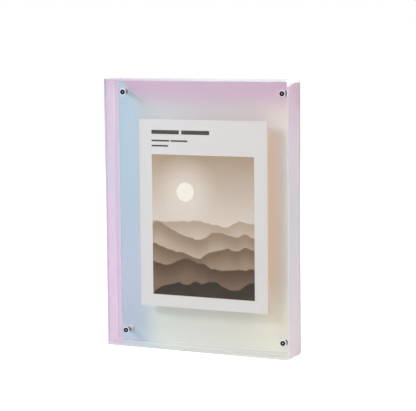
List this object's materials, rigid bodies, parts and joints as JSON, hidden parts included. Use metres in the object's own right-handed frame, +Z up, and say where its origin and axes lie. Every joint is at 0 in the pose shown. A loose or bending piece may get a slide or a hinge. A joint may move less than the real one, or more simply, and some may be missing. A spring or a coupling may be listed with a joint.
{
  "type": "acrylic photo frame",
  "caption": "Free-standing open-fronted acrylic tray frame; clear panes clamped by corner screws hold a printed card clear of the back panel.",
  "frame": {"origin": "middle of the base, on the surface that the frame stands on", "axes": "+Z up, +Y away from the viewer towards the back panel, +X to the viewer's right"},
  "size_m": [0.15, 0.02, 0.2],
  "materials": {
    "iridescent_acrylic": "translucent iridescent sheet, polished edges",
    "frosted_acrylic": "iridescent sheet, satin face with a pastel colour run",
    "clear_acrylic": "clear, polished",
    "printed_card": "matte white card with a printed field",
    "polished_steel": "polished"
  },
  "bodies": {
    "tray": {"wrap_wall": "iridescent_acrylic", "left_wall": "iridescent_acrylic", "back_panel": "frosted_acrylic", "standoff_top_left": "polished_steel", "standoff_top_right": "polished_steel", "standoff_bottom_left": "polished_steel", "standoff_bottom_right": "polished_steel"},
    "rear_pane": {"rear_pane": "clear_acrylic"},
    "photo_card": {"photo_card": "printed_card"},
    "front_pane": {"front_pane": "clear_acrylic"},
    "screw_top_left": {"screw_top_left": "polished_steel"},
    "screw_top_right": {"screw_top_right": "polished_steel"},
    "screw_bottom_left": {"screw_bottom_left": "polished_steel"},
    "screw_bottom_right": {"screw_bottom_right": "polished_steel"}
  },
  "joints": [
    {"name": "front_pane_lift", "type": "slide", "parent": "tray", "child": "front_pane", "axis": [0, -1, 0], "range_m": [0, 0.06]},
    {"name": "photo_card_lift", "type": "slide", "parent": "tray", "child": "photo_card", "axis": [0, -1, 0], "range_m": [0, 0.042]},
    {"name": "rear_pane_lift", "type": "slide", "parent": "tray", "child": "rear_pane", "axis": [0, -1, 0], "range_m": [0, 0.024]},
    {"name": "screw_top_left_turn", "type": "hinge", "parent": "front_pane", "child": "screw_top_left", "pos_m": [-0.065, 0, 0.19], "axis": [0, 1, 0], "continuous": true},
    {"name": "screw_top_right_turn", "type": "hinge", "parent": "front_pane", "child": "screw_top_right", "pos_m": [0.065, 0, 0.19], "axis": [0, 1, 0], "continuous": true},
    {"name": "screw_bottom_left_turn", "type": "hinge", "parent": "front_pane", "child": "screw_bottom_left", "pos_m": [-0.065, 0, 0.01], "axis": [0, 1, 0], "continuous": true},
    {"name": "screw_bottom_right_turn", "type": "hinge", "parent": "front_pane", "child": "screw_bottom_right", "pos_m": [0.065, 0, 0.01], "axis": [0, 1, 0], "continuous": true}
  ],
  "couplings": [
    {"joint": "photo_card_lift", "follows": "front_pane_lift", "ratio": 0.7},
    {"joint": "rear_pane_lift", "follows": "front_pane_lift", "ratio": 0.4}
  ]
}
